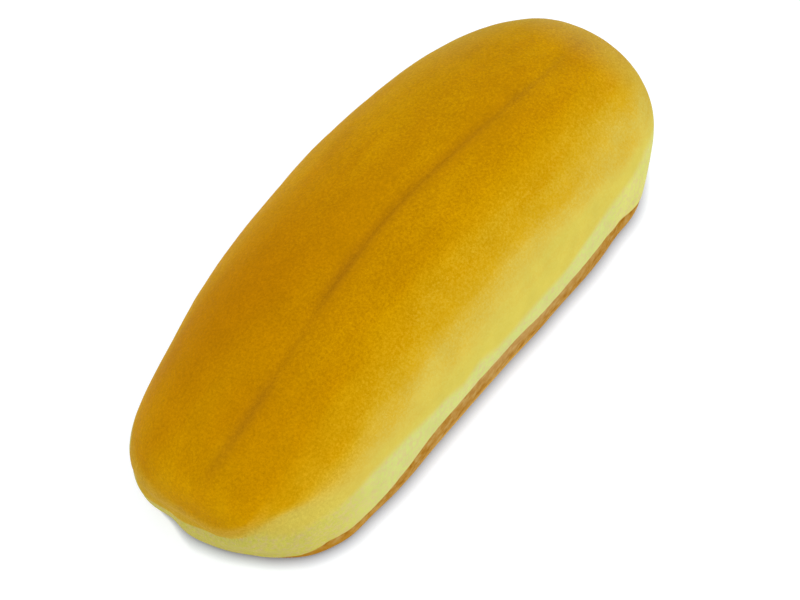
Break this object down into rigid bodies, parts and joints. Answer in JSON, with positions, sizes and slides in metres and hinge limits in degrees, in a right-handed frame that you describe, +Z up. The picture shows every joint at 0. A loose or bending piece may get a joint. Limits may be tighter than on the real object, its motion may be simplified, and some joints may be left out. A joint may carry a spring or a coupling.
{
  "type": "potato sandwich roll",
  "caption": "Long soft sandwich roll with a domed golden crown, a shallow seam along its top, pale sides and a browned flat base.",
  "frame": {"origin": "middle of the roll's outline, on the table that its base rests on", "axes": "+X along the roll towards its far end, +Z up from the table; -Y is the side that the picture shows"},
  "size_m": [0.152, 0.0634, 0.0412],
  "materials": {
    "crust": "soft golden bread crust with a low satin sheen, paler at the sides, brown beneath"
  },
  "bodies": {
    "root": {"roll": "crust"}
  },
  "joints": []
}
